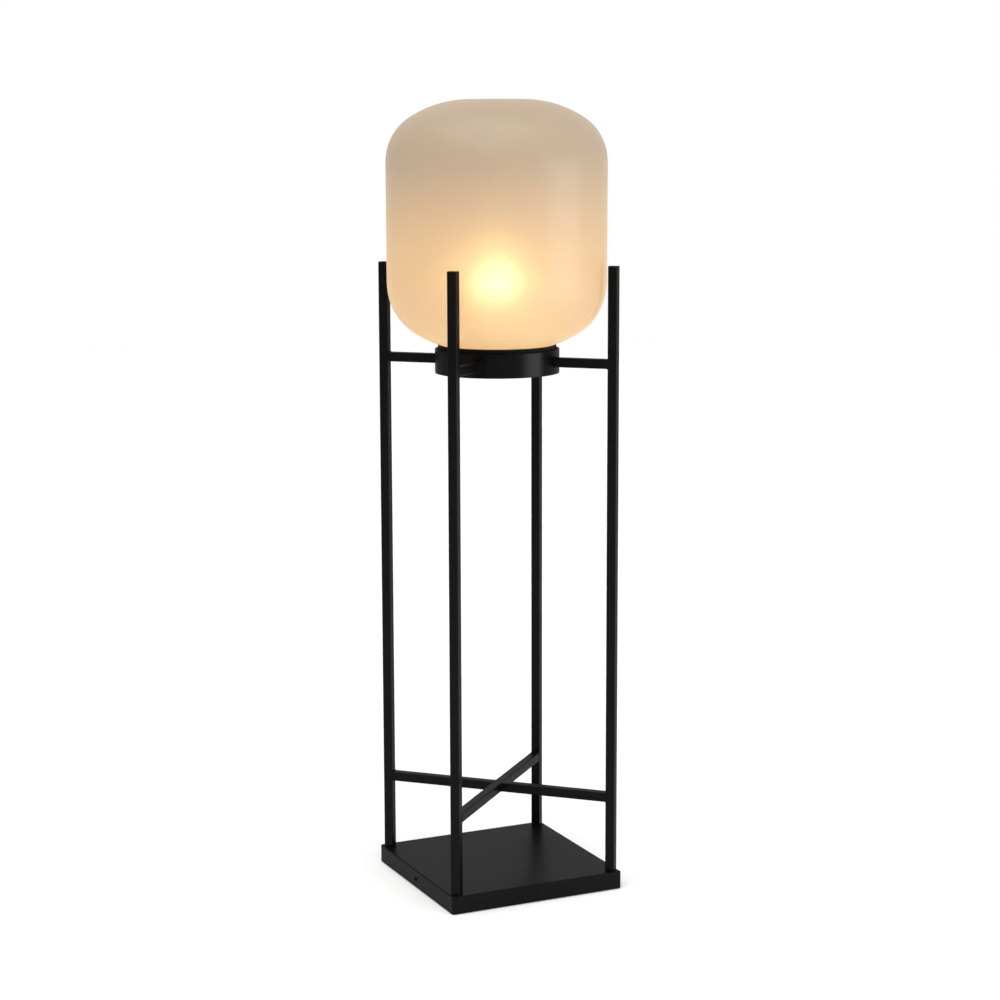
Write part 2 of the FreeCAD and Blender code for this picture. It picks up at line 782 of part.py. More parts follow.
def wall_surface(inset):
    """Edges of one face of the glass, from the middle of its top to the end of its neck."""
    low = shade_cylinder_z()
    high = low + shade_straight
    radius = shade_r - inset
    top_centre, side_centre, top_r = crown_centres()
    hand_over = bearing(top_centre, side_centre)
    belly = belly_centres()
    bend = neck_bend_centre()
    into_neck = bearing(belly[2], bend)

    def raised(point, level):
        return point[0], point[1] + level

    return [
        line((0, high + crown_rise - inset), (crown_flat_r, high + crown_rise - inset)),
        arc(raised(top_centre, high), top_r - inset, 90, hand_over),
        arc(raised(side_centre, high), crown_side_r - inset, hand_over, 0),
        line((radius, high), (radius, low)),
        arc(raised(belly[0], low), belly_upper_r - inset, 0, -belly_upper_turn),
        arc(raised(belly[1], low), belly_middle_r - inset, -belly_upper_turn, -belly_middle_turn),
        arc(raised(belly[2], low), belly_lower_r - inset, -belly_middle_turn, into_neck),
        arc(raised(bend, low), neck_bend_r + inset, into_neck + 180, 180),
        line((neck_r - inset, low + bend[1]), (neck_r - inset, neck_z)),
    ]


def make_shade_glass():
    """Blown jar: flat crown, straight wall, belly turned in to a plain neck."""
    top = shade_cylinder_z() + shade_straight + crown_rise
    edges = wall_surface(0.0) + wall_surface(shade_wall)
    edges.append(line((0, top), (0, top - shade_wall)))
    edges.append(line((neck_r, neck_z), (neck_r - shade_wall, neck_z)))
    glass = revolved(edges)
    return glass.makeChamfer(neck_edge, edges_at(glass, neck_z))


# ---- Lampholder -------------------------------------------------------------------------------------
def make_dish_nipple():
    return sleeve(nipple_r - thread_play, nipple_bore_r, nipple_bottom(), dish_floor + nipple_above_dish)


def make_dish_nuts():
    """One nut under the dish and one between the dish and the lampholder."""
    piece = nut(nipple_nut_flats, nipple_nut_height, nipple_r)
    below = moved(piece, 0, 0, dish_z - washer_thickness - nipple_nut_height)
    return [below, moved(piece, 0, 0, dish_floor)]


def make_lock_washer():
    """Toothed washer between the lower nut and the dish."""
    washer = disc(nipple_washer_r, dish_z - washer_thickness, dish_z)
    notch = prism(2 * washer_tooth_depth, washer_tooth_width, dish_z - washer_thickness, dish_z,
                  nipple_washer_r)
    washer = washer.cut(around(notch, [360 / washer_teeth * k for k in range(washer_teeth)]))
    return washer.cut(disc(nipple_r + hole_play, dish_z - washer_thickness - through, dish_z + through))


def make_holder_lower():
    """Lower shell of the lampholder, a tapered cup tapped for the nipple."""
    foot_r = holder_r - holder_foot_taper
    edges = outline([
        (0, holder_z), (foot_r, holder_z), (holder_r, holder_z + holder_cone),
        (holder_r, holder_split), (holder_inner_r, holder_split), (holder_inner_r, insert_z),
        (holder_inner_r - holder_ledge, insert_z), (foot_r - holder_wall, holder_z + holder_floor),
        (0, holder_z + holder_floor),
    ])
    return revolved(edges).cut(disc(nipple_r, holder_z - through, holder_z + holder_floor + through))


def make_holder_sleeve():
    """Upper shell, a tube with an inturned rim around the bulb's cap."""
    rim_inner = screw_shell_r + holder_rim_play
    rim_z = holder_top - holder_rim
    return revolved(outline([
        (holder_inner_r, holder_split), (holder_r, holder_split),
        (holder_r, holder_top - holder_top_edge), (holder_r - holder_top_taper, holder_top),
        (rim_inner, holder_top), (rim_inner, rim_z), (holder_inner_r, rim_z),
    ]))


def make_holder_insert():
    """Ceramic core that carries the contacts, held in the lower shell."""
    core = disc(insert_r, insert_z, holder_split).fuse(disc(screw_shell_r, insert_z, insert_top))
    well = disc(m3_r, insert_z - through, insert_z + insert_well_depth, insert_well_place)
    return core.removeSplitter().cut(around(well, (0, 180)))


def make_screw_shell():
    """Drawn brass shell that takes the bulb's cap, with a turned-out flange under the sleeve's rim."""
    low = holder_split
    high = low + screw_shell_height
    outer = screw_shell_r + screw_shell_wall
    shell = sleeve(outer, screw_shell_r, low, high)
    flange = sleeve(insert_r, screw_shell_r, low, low + screw_shell_flange)
    return shell.fuse(flange).removeSplitter()


def make_centre_contact():
    """Bent spring strip on the insert, under the bulb's tip."""
    top = insert_top + contact_rise - contact_gap
    foot = prism(contact_foot, contact_width, insert_top, insert_top + contact_sheet,
                 contact_front - contact_foot / 2)
    points = [
        (contact_front, insert_top), (contact_front, insert_top + contact_sheet),
        (-contact_back, top), (-contact_back, top - contact_sheet),
    ]
    ramp = [Vector(x, -contact_width / 2, z) for x, z in points]
    blade = Part.Face(Part.makePolygon(ramp + ramp[:1])).extrude(Vector(0, contact_width, 0))
    tip = prism(contact_tip, contact_width, top - contact_sheet, top, contact_tip / 2 - contact_back)
    return foot.fuse([blade, tip]).removeSplitter()


# ---- Bulb -------------------------------------------------------------------------------------------
def bulb_flare():
    """Centres of the ball and of the hollow flare that meets it, and the flare's radius."""
    ball = (0.0, bulb_tip_z + bulb_length - bulb_r)
    start = bulb_tip_z + bulb_seat_height + bulb_neck_height
    rise = ball[1] - start
    flare_r = (bulb_neck_r ** 2 + rise ** 2 - bulb_r ** 2) / (2 * (bulb_r - bulb_neck_r))
    return ball, (bulb_neck_r + flare_r, start), flare_r


def make_bulb_dome():
    """Opal ball that closes the bulb above its body."""
    ball, flare, _ = bulb_flare()
    rim = on_arc(ball, bulb_r, bearing(ball, flare))
    sphere = Part.makeSphere(bulb_r, Vector(0, 0, ball[1]))
    return sphere.cut(prism(4 * bulb_r, 4 * bulb_r, ball[1] - 2 * bulb_r, rim[1]))


def make_bulb_body():
    """Opaque body that flares from the cap to the dome."""
    ball, flare, flare_r = bulb_flare()
    low = bulb_tip_z + bulb_seat_height
    meet = bearing(flare, ball)
    rim = on_arc(flare, flare_r, meet)
    edges = [
        line((0, low), (bulb_neck_r, low)),
        line((bulb_neck_r, low), (bulb_neck_r, flare[1])),
        arc(flare, flare_r, 180, meet),
        line(rim, (0, rim[1])),
        line((0, rim[1]), (0, low)),
    ]
    return revolved(edges)


def make_bulb_cap():
    """Screw cap, drawn here at its crest size as a plain cup."""
    low = bulb_tip_z + bulb_tip_height + bulb_insulator_height
    high = bulb_tip_z + bulb_seat_height
    inner_r = bulb_cap_r - bulb_cap_sheet
    slope = bulb_cap_chamfer
    return revolved(outline([
        (bulb_cap_r - slope, low), (bulb_cap_r, low + slope), (bulb_cap_r, high),
        (inner_r, high), (inner_r, low + slope), (inner_r - slope, low),
    ]))


def make_bulb_insulator():
    """Black glass cone between the cap and the tip contact."""
    low = bulb_tip_z + bulb_tip_height
    high = low + bulb_insulator_height
    radius = bulb_cap_r - bulb_insulator_step
    top = high + bulb_insulator_lap
    return revolved(outline([(0, low), (bulb_tip_r, low), (radius, high), (radius, top), (0, top)]))


def make_bulb_tip():
    return disc(bulb_tip_r, bulb_tip_z, bulb_tip_z + bulb_tip_height)


# ---- Build every node --------------------------------------------------------------------------------
os.makedirs("parts", exist_ok=True)

save("base_shell", make_base_shell())
save("bottom_cover", make_bottom_cover())
save("base_weight", make_base_weight())
save("weight_screws", *make_weight_screws())
save("side_screws", *make_side_screws())
save("tab_nuts", *make_tab_nuts())
save("foot_pads", *make_foot_pads())
save("cord_bushing", make_cord_bushing())

save("terminal_block", make_terminal_block())
save("terminal_sleeves", *make_terminal_sleeves())
save("terminal_screws", *make_terminal_screws())
save("block_screw", make_block_screw())
save("lamp_lead", make_lamp_lead())

for corner_name in corners:
    save("post_" + corner_name, make_post(corner_name))
    save("post_cap_" + corner_name, make_post_cap(corner_name))
    save("post_foot_" + corner_name, make_post_foot(corner_name))
    save("arm_" + corner_name, make_arm(corner_name))
save("post_bolts", *make_post_bolts())
save("post_washers", *make_post_washers())
save("lead_nipple", make_lead_nipple())
save("lead_nut", make_lead_nut())
save("lead_washer", make_lead_washer())
save("brace_bar", make_brace_bar())
save("brace_half_left", make_brace_half("back_left"))
save("brace_half_right", make_brace_half("front_right"))

save("ring_band", make_ring_band())
save("ring_lugs", *make_ring_lugs())
save("ring_cover", make_ring_cover())
save("ring_cover_screws", *make_ring_cover_screws())
save("lead_bushing", make_lead_bushing())
save("light_dish", make_light_dish())
save("dish_screws", *make_dish_screws())
save("rim_trim", make_rim_trim())
save("shade_glass", make_shade_glass())

save("dish_nipple", make_dish_nipple())
save("dish_nuts", *make_dish_nuts())
save("lock_washer", make_lock_washer())
save("holder_lower", make_holder_lower())
save("holder_sleeve", make_holder_sleeve())
save("holder_insert", make_holder_insert())
save("screw_shell", make_screw_shell())
save("centre_contact", make_centre_contact())

save("bulb_dome", make_bulb_dome())
save("bulb_body", make_bulb_body())
save("bulb_cap", make_bulb_cap())
save("bulb_insulator", make_bulb_insulator())
save("bulb_tip", make_bulb_tip())
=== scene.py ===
"""Looks of the lantern floor lamp: frosted glass jar, opal bulb and black powder-coated frame.

Metres, +Z up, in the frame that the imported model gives. The shade and the bulb get smooth meshes of their
own, the frame gets its weld beads, and every surface gets a procedural material.
"""

import json
import math

import bmesh
import bpy
from mathutils import Matrix, Vector


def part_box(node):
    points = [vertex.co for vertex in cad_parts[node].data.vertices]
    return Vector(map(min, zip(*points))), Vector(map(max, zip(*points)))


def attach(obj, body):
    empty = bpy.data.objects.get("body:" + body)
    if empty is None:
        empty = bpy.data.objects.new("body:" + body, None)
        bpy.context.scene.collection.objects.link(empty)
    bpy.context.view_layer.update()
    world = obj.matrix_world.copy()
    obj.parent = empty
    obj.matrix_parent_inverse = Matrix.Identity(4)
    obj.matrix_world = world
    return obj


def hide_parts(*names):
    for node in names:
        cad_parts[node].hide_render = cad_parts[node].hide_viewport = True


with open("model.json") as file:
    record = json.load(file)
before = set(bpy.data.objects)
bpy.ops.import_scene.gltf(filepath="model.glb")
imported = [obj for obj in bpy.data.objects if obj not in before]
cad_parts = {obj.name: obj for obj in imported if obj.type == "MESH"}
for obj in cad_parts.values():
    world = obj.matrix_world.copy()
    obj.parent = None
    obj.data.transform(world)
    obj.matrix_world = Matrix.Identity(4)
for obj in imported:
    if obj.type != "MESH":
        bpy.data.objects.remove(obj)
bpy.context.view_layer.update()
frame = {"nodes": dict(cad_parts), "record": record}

MM = 0.001

# ---- Camera: where the photograph was taken from ----------------------------------------------------
camera_place = Vector((-1.5513, -3.3208, 1.2380))
camera_yaw = math.radians(-25.10)
camera_pitch = math.radians(9.427)
camera_roll = math.radians(-0.16)
camera_lens = 82.9            # millimetres
camera_sensor = 36.0          # millimetres across
camera_near = 0.05
camera_far = 60.0

# ---- Edges sharper than these, in degrees, stay sharp -----------------------------------------------
packed_angle = 30.0
plain_angle = 35.0
shade_angle = 50.0
thread_angle = 60.0
bead_angle = 60.0

# ---- Glass ------------------------------------------------------------------------------------------
shade_low, shade_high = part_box("shade_glass")
shade_r = 175.0 * MM
shade_wall = 3.2 * MM
crown_rise = 97.5 * MM
crown_flat_r = 42.0 * MM
crown_side_r = 83.0 * MM
cylinder_height = 183.5 * MM
belly_upper_r = 143.0 * MM
belly_upper_turn = 7.5
belly_middle_r = 93.5 * MM
belly_middle_turn = 58.0
belly_lower_r = 184.0 * MM
neck_r = 76.0 * MM
neck_bend_r = 6.0 * MM
neck_edge = 0.8 * MM
arc_step = 3.0                # degrees between the points of a profile's arcs
fine_arc_step = 1.5           # on the long flat arcs of the crown and the belly
coarse_arc_step = 10.0        # on the small bend into the neck
flat_rows = 4                 # rows of points on the flat of the crown
cylinder_rows = 24            # rows of points on the straight wall
round_steps = 144             # points round a turned piece
axis_reach = 1e-7             # points closer than this to the axis lie on it

# ---- Bulb and lampholder ----------------------------------------------------------------------------
dome_low, dome_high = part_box("bulb_dome")
body_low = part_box("bulb_body")[0]
cap_low, cap_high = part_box("bulb_cap")
shell_low, shell_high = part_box("screw_shell")
sleeve_low, sleeve_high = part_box("holder_sleeve")
bulb_r = 30.0 * MM
bulb_centre = Vector((0, 0, dome_high.z - bulb_r))
bulb_neck_r = 13.6 * MM
bulb_neck_height = 2.0 * MM
bulb_seam = 0.35 * MM         # step where the dome meets the body

thread_steps = 96             # points round a threaded piece
thread_pitch = 3.63 * MM
thread_depth = 0.9 * MM
thread_row = 0.33 * MM        # height between the rows of points on a threaded wall
cap_sheet = 0.35 * MM
cap_collar = 3.6 * MM         # plain band at the top of the cap
cap_chamfer = 2.0 * MM
shell_r = 13.75 * MM          # inside of the screw shell at the crests
shell_plain = 3.6 * MM        # plain band round the ceramic boss
shell_flange = 0.8 * MM
shell_flange_r = 16.9 * MM

grip_ribs = 44
rib_steps = 8                 # points round each rib
grip_depth = 0.45 * MM
grip_low = 4.0 * MM
grip_high = 15.0 * MM
sleeve_wall = 2.2 * MM
sleeve_rim = 2.0 * MM
sleeve_mouth_r = 14.35 * MM
sleeve_taper = 0.9 * MM
sleeve_taper_height = 3.0 * MM

# ---- Frame ------------------------------------------------------------------------------------------
coat_edge_r = 0.6 * MM        # paint rounds the edges of the steel by this much
ring_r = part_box("ring_band")[1].x
arm_low, arm_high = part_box("arm_front_left")
brace_low, brace_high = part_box("brace_bar")
tube_side = arm_high.z - arm_low.z
post_low, post_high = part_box("post_front_right")
post_middle = (post_low + post_high) / 2
post_face = math.hypot(post_middle.x, post_middle.y) - tube_side / 2   # inward faces, from the axis
bead_r = 1.25 * MM
bead_sunk = 0.75 * MM         # beads on flush sides lie this deep
bead_ripple = 0.07
bead_ripple_length = 1.7 * MM
bead_step = 0.4 * MM
bead_corner_r = 1.6 * MM
bead_corner_steps = 5
diagonals = (45.0, 135.0, 225.0, 315.0)
half_brace_turns = (135.0, 315.0)      # the half bars meet the through bar from these sides
bead_sides = 10

# ---- Studio -----------------------------------------------------------------------------------------
floor_r = 9.0
floor_thickness = 0.01
backdrop_way = (0.42, 0.90, 0.10)      # towards the bright paper behind the lamp
backdrop_edge = 0.35          # cosine of the angle off that way where the paper's light ends
backdrop_light = 0.85
room_light = 0.16
sky_power = 3.2
sky_softness = 70.0           # degrees across
sky_tilt = (12.0, -14.0)      # degrees about X and Y
key_place = (-1.6, -2.6, 2.9)
key_target = (0, 0, 0.9)
key_side = 1.6
key_power = 20.0
key_colour = (1.0, 0.985, 0.96)
strip_place = (2.20, -2.05, 0.64)
strip_target = (0, 0, 0.86)   # the ring
strip_width = 2.0
strip_height = 1.15
strip_power = 50.0


# ---- Node helpers -----------------------------------------------------------------------------------
def new_tree(name):
    """An empty material and its node tree."""
    material = bpy.data.materials.new(name)
    material.use_nodes = True
    material.node_tree.nodes.clear()
    return material, material.node_tree


def add(tree, kind, inputs=None, **settings):
    """A node with its settings, and with values or links given to its inputs by name or number."""
    node = tree.nodes.new("ShaderNode" + kind)
    for key, value in settings.items():
        setattr(node, key, value)
    for key, value in (inputs or {}).items():
        if isinstance(value, bpy.types.NodeSocket):
            tree.links.new(value, node.inputs[key])
        else:
            node.inputs[key].default_value = value
    return node


def noise(tree, scale, detail, roughness=0.5):
    """Noise in the piece's own space, from 0 to 1."""
    place = add(tree, "TexCoord").outputs["Object"]
    inputs = {"Vector": place, "Scale": scale, "Detail": detail, "Roughness": roughness}
    return add(tree, "TexNoise", inputs).outputs["Fac"]


def spread(tree, value, low, high, from_low=0.3, from_high=0.7, curve="LINEAR"):
    """The value brought from one range to another."""
    inputs = {"Value": value, "From Min": from_low, "From Max": from_high, "To Min": low, "To Max": high}
    return add(tree, "MapRange", inputs, interpolation_type=curve).outputs["Result"]


def opaque(colour):
    """A colour with its alpha added, or a link left as it is."""
    return colour if isinstance(colour, bpy.types.NodeSocket) else (*colour, 1.0)


def blend(tree, share, first, second):
    """A colour between two colours. A Mix node has its colours on the inputs 6 and 7 and the output 2."""
    inputs = {0: share, 6: opaque(first), 7: opaque(second)}
    return add(tree, "Mix", inputs, data_type="RGBA").outputs[2]


def relief(tree, height, distance, strength, under=None):
    """Normal of fine relief, laid over another normal where one is given."""
    inputs = {"Height": height, "Distance": distance, "Strength": strength}
    if under is not None:
        inputs["Normal"] = under
    return add(tree, "Bump", inputs).outputs["Normal"]


def finish_material(tree, shader):
    add(tree, "OutputMaterial", {"Surface": shader})


# ---- Materials --------------------------------------------------------------------------------------
def powder_coat():
    """Satin black powder coat: fine orange peel, thin lighter edges and faint dust under a clear skin. The
    lighter edges are partly rubbed wear and partly a painted highlight.
    """
    black = (0.0021, 0.0020, 0.0021)
    worn_black = (0.0031, 0.0030, 0.0031)
    dust_colour = (0.016, 0.0155, 0.015)
    # lighter edge colour: partly rubbed wear, partly a painted highlight where the rounded edges catch
    # light
    worn_and_highlit_edge_colour = (0.030, 0.0295, 0.029)
    material, tree = new_tree("powder_coat_black")
    peel = noise(tree, 620.0, detail=2.0)
    cloud = noise(tree, 9.0, detail=4.0)
    dust = noise(tree, 60.0, detail=6.0, roughness=0.7)
    rounded = add(tree, "Bevel", {"Radius": coat_edge_r}, samples=4).outputs["Normal"]
    straight = add(tree, "NewGeometry").outputs["Normal"]
    turn = add(tree, "VectorMath", {0: rounded, 1: straight}, operation="DOT_PRODUCT").outputs["Value"]
    # mask of the rounded edges for that lighter colour, so partly wear and partly a painted highlight
    edge_wear_and_highlight = spread(tree, turn, 1.0, 0.0, 0.80, 0.99)
    colour = blend(tree, spread(tree, cloud, 0.0, 1.0), black, worn_black)
    colour = blend(tree, spread(tree, dust, 0.0, 0.22, 0.55, 0.8), colour, dust_colour)
    colour = blend(tree, edge_wear_and_highlight, colour, worn_and_highlit_edge_colour)
    skin = relief(tree, peel, 0.00012, 0.6, rounded)
    shader = add(tree, "BsdfPrincipled", {
        "Base Color": colour, "Roughness": spread(tree, dust, 0.38, 0.48), "Specular IOR Level": 0.006,
        "Normal": skin, "Coat Weight": 0.18, "Coat Roughness": 0.32, "Coat IOR": 1.5, "Coat Normal": skin,
    })
    finish_material(tree, shader.outputs[0])
    return material


def plain_metal(name, colour, rough):
    """Metal with fine uneven sheen."""
    material, tree = new_tree(name)
    grain = noise(tree, 220.0, detail=5.0)
    cloud = noise(tree, 35.0, detail=3.0)
    darker = tuple(channel * 0.75 for channel in colour)
    shader = add(tree, "BsdfPrincipled", {
        "Base Color": blend(tree, spread(tree, cloud, 0.0, 1.0), colour, darker), "Metallic": 1.0,
        "Roughness": spread(tree, grain, rough - 0.07, rough + 0.09),
        "Normal": relief(tree, grain, 0.00003, 0.7),
    })
    finish_material(tree, shader.outputs[0])
    return material


def moulded(name, colour, rough, scale=900.0, shine=0.5):
    """Moulded or rubbery surface with fine texture and uneven sheen."""
    material, tree = new_tree(name)
    grain = noise(tree, scale, detail=2.0)
    cloud = noise(tree, 40.0, detail=4.0)
    darker = tuple(channel * 0.72 for channel in colour)
    shader = add(tree, "BsdfPrincipled", {
        "Base Color": blend(tree, spread(tree, cloud, 0.0, 1.0), colour, darker),
        "Roughness": spread(tree, cloud, rough - 0.05, rough + 0.08), "Specular IOR Level": shine,
        "Normal": relief(tree, grain, 0.00004, 0.8),
    })
    finish_material(tree, shader.outputs[0])
    return material


def cast_iron():
    """Raw grey casting with pits and cloudy colour."""
    material, tree = new_tree("cast_iron")
    pits = noise(tree, 260.0, detail=5.0, roughness=0.65)
    cloud = noise(tree, 22.0, detail=5.0)
    colour = blend(tree, spread(tree, cloud, 0.0, 1.0), (0.10, 0.097, 0.094), (0.17, 0.155, 0.145))
    shader = add(tree, "BsdfPrincipled", {
        "Base Color": colour, "Metallic": 0.4, "Roughness": spread(tree, pits, 0.62, 0.85),
        "Normal": relief(tree, pits, 0.0004, 0.8),
    })
    finish_material(tree, shader.outputs[0])
    return material


def frosted_glass():
    """Etched glass, milky and warm: fine patches that scatter light widely between clearer ones.

    Its emission is a painted glow, strongest near the bulb, that stands in for the bulb's light inside the
    glass.
    """
    clear = (0.36, 0.33, 0.34)
    milky = (0.335, 0.260, 0.135)
    # painted glow: emission colours far from the bulb and near it, standing in for the bulb's light
    milkier = (0.355, 0.276, 0.145)
    painted_far_glow = (0.312, 0.250, 0.202)
    painted_near_glow = (0.77, 0.498, 0.235)
    dark_distance = 0.28
    bright_distance = 0.12
    material, tree = new_tree("frosted_glass")
    place = add(tree, "TexCoord").outputs["Object"]
    away = add(tree, "VectorMath", {0: place, 1: bulb_centre}, operation="DISTANCE").outputs["Value"]
    near = spread(tree, away, 0.0, 1.0, dark_distance, bright_distance, "SMOOTHSTEP")
    etch = noise(tree, 4200.0, detail=2.0)
    rough = spread(tree, etch, 0.0, 1.0, 0.41, 0.50)
    cloud = noise(tree, 7.0, detail=3.0)
    rough_tint = blend(tree, spread(tree, cloud, 0.0, 1.0), milky, milkier)
    shader = add(tree, "BsdfPrincipled", {
        "Base Color": blend(tree, rough, clear, rough_tint),
        "Roughness": spread(tree, rough, 0.22, 0.82, 0.0, 1.0), "IOR": 1.45, "Transmission Weight": 0.50,
        "Emission Color": blend(tree, near, painted_far_glow, painted_near_glow), "Emission Strength": 0.6,
        "Normal": relief(tree, etch, 0.000012, 0.4),
    })
    finish_material(tree, shader.outputs[0])
    return material


def opal_light():
    """Lit opal dome, dimmer and whiter towards its top."""
    rim_glow = (1.0, 0.76, 0.42)
    top_glow = (1.0, 0.80, 0.47)
    rim_strength = 118.0
    top_strength = 76.0
    material, tree = new_tree("opal_light")
    place = add(tree, "TexCoord").outputs["Object"]
    height = add(tree, "SeparateXYZ", {"Vector": place}).outputs["Z"]
    up = spread(tree, height, 0.0, 1.0, dome_low.z, dome_high.z)
    glow = blend(tree, up, rim_glow, top_glow)
    strength = spread(tree, up, rim_strength, top_strength, 0.0, 1.0)
    grain = noise(tree, 500.0, detail=2.0)
    shader = add(tree, "BsdfPrincipled", {
        "Base Color": (0.86, 0.80, 0.70, 1.0), "Roughness": spread(tree, grain, 0.32, 0.40),
        "Emission Color": glow, "Emission Strength": strength,
    })
    finish_material(tree, shader.outputs[0])
    return material


def floor_paint():
    """Pale matt floor."""
    material, tree = new_tree("studio_floor")
    cloud = noise(tree, 1.5, detail=3.0)
    colour = blend(tree, spread(tree, cloud, 0.0, 1.0), (0.86, 0.86, 0.86), (0.88, 0.88, 0.875))
    shader = add(tree, "BsdfPrincipled", {
        "Base Color": colour, "Roughness": 0.8, "Specular IOR Level": 0.1,
    })
    finish_material(tree, shader.outputs[0])
    return material


def paint(piece, material):
    piece.data.materials.clear()
    piece.data.materials.append(material)


# ---- Mesh helpers -----------------------------------------------------------------------------------
def new_piece(name, points, faces, material, smooth_angle=plain_angle):
    """A painted mesh in the scene, smooth except at edges sharper than the angle."""
    mesh = bpy.data.meshes.new(name)
    mesh.from_pydata(points, [], faces)
    mesh.validate()
    mesh.update()
    piece = bpy.data.objects.new(name, mesh)
    bpy.context.scene.collection.objects.link(piece)
    soften(piece, smooth_angle)
    paint(piece, material)
    return piece


def soften(piece, angle):
    """Smooth shading, broken at edges sharper than the angle."""
    mesh = piece.data
    mesh.shade_smooth()
    mesh.set_sharp_from_angle(angle=math.radians(angle))


def arc(centre, radius, start, end, step=arc_step):
    """Points on an arc in (radius, height) from one angle in degrees to another, the first left out."""
    count = max(2, math.ceil(abs(end - start) / step))
    turns = [math.radians(start + (end - start) * k / count) for k in range(1, count + 1)]
    return [(centre[0] + radius * math.cos(t), centre[1] + radius * math.sin(t)) for t in turns]


def on_arc(centre, radius, turn):
    """The point on an arc in (radius, height) at an angle in degrees."""
    turn = math.radians(turn)
    return centre[0] + radius * math.cos(turn), centre[1] + radius * math.sin(turn)


def turned(profile, steps=round_steps, swell=None):
    """Mesh of a closed (radius, height) loop turned about the Z axis. Points on the axis are shared.

    Where swell is given, swell(radius, height, turn) is added to a point's radius.
    """
    points = []
    rings = []
    for radius, height in profile:
        if radius < axis_reach:
            rings.append([len(points)] * steps)
            points.append((0.0, 0.0, height))
            continue
        rings.append([len(points) + k for k in range(steps)])
        for k in range(steps):
            turn = math.tau * k / steps
            reach = radius + (swell(radius, height, turn) if swell else 0.0)
            points.append((reach * math.cos(turn), reach * math.sin(turn), height))
    faces = []
    for ring, following in zip(rings, rings[1:] + rings[:1]):
        for k in range(steps):
            corners = [ring[k], ring[(k + 1) % steps], following[(k + 1) % steps], following[k]]
            face = list(dict.fromkeys(corners))
            if len(face) > 2:
                faces.append(face)
    return points, faces


def facing_out(piece):
    """Normals made to face outwards."""
    work = bmesh.new()
    work.from_mesh(piece.data)
    bmesh.ops.recalc_face_normals(work, faces=work.faces)
    work.to_mesh(piece.data)
    work.free()


# ---- Shade ------------------------------------------------------------------------------------------
def glass_profile(inset):
    """One face of the glass as (radius, height) points, from the middle of its top down to its neck."""
    top = shade_high.z
    high = top - crown_rise
    low = high - cylinder_height
    width = shade_r - crown_flat_r
    lift = crown_rise - crown_side_r
    top_r = (width ** 2 - 2 * width * crown_side_r + crown_rise ** 2) / (2 * lift)
    top_centre = (crown_flat_r, top - top_r)
    side_centre = (shade_r - crown_side_r, high)
    hand_over = math.degrees(math.atan2(side_centre[1] - top_centre[1], side_centre[0] - top_centre[0]))
    upper = (shade_r - belly_upper_r, low)
    middle = on_arc(upper, belly_upper_r - belly_middle_r, -belly_upper_turn)
    lower = on_arc(middle, belly_middle_r - belly_lower_r, -belly_middle_turn)
    across = neck_r + neck_bend_r - lower[0]
    bend = (neck_r + neck_bend_r, lower[1] - math.sqrt((belly_lower_r + neck_bend_r) ** 2 - across ** 2))
    into_neck = math.degrees(math.atan2(bend[1] - lower[1], bend[0] - lower[0]))
    flat = [(crown_flat_r * k / flat_rows, top - inset) for k in range(flat_rows + 1)]
    heights = [high - cylinder_height * k / cylinder_rows for k in range(1, cylinder_rows + 1)]
    side = [(shade_r - inset, height) for height in heights]
    return (
        flat
        + arc(top_centre, top_r - inset, 90, hand_over, fine_arc_step)
        + arc(side_centre, crown_side_r - inset, hand_over, 0)
        + side
        + arc(upper, belly_upper_r - inset, 0, -belly_upper_turn)
        + arc(middle, belly_middle_r - inset, -belly_upper_turn, -belly_middle_turn)
        + arc(lower, belly_lower_r - inset, -belly_middle_turn, into_neck, fine_arc_step)
        + arc(bend, neck_bend_r + inset, into_neck + 180, 180, coarse_arc_step)
    )


def make_shade(material):
    """The glass jar with its ground neck."""
    end = shade_low.z
    inner_r = neck_r - shade_wall
    outside = glass_profile(0.0) + [(neck_r, end + neck_edge), (neck_r - neck_edge, end)]
    inside = glass_profile(shade_wall) + [(inner_r, end + neck_edge), (inner_r + neck_edge, end)]
    points, faces = turned(outside + inside[::-1])
    piece = new_piece("shade_jar", points, faces, material, shade_angle)
    facing_out(piece)
    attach(piece, "shade")
    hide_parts("shade_glass")


# ---- Bulb and lampholder ----------------------------------------------------------------------------
def turned_piece(name, profile, material, body, node, steps=round_steps, swell=None,
                 angle=plain_angle):
    """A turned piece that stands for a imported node."""
    points, faces = turned(profile, steps, swell)
    piece = new_piece(name, points, faces, material, angle)
    facing_out(piece)
    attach(piece, body)
    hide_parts(node)


def eased(value, low, high):
    """0 below low, 1 above high, and smooth between."""
    share = min(1.0, max(0.0, (value - low) / (high - low)))
    return share * share * (3.0 - 2.0 * share)


def threaded(low, high):
    """Swell of a right-hand thread between two heights, fading out within a third of a pitch."""
    fade = thread_pitch / 3

    def swell(radius, height, turn):
        depth = thread_depth * eased(height, low, low + fade) * (1.0 - eased(height, high - fade, high))
        return -depth * (0.5 - 0.5 * math.cos(math.tau * height / thread_pitch - turn))
    return swell


def wall(radius, start, end):
    """Upright run of points close enough together to carry a thread."""
    count = math.ceil(abs(end - start) / thread_row)
    return [(radius, start + (end - start) * k / count) for k in range(count + 1)]


def bulb_flare():
    """Centre and radius of the hollow flare between the bulb's neck and its ball, and where they meet."""
    start = body_low.z + bulb_neck_height
    rise = bulb_centre.z - start
    flare_r = (bulb_neck_r ** 2 + rise ** 2 - bulb_r ** 2) / (2 * (bulb_r - bulb_neck_r))
    centre = (bulb_neck_r + flare_r, start)
    meet = math.degrees(math.atan2(bulb_centre.z - centre[1], -centre[0]))
    return centre, flare_r, meet


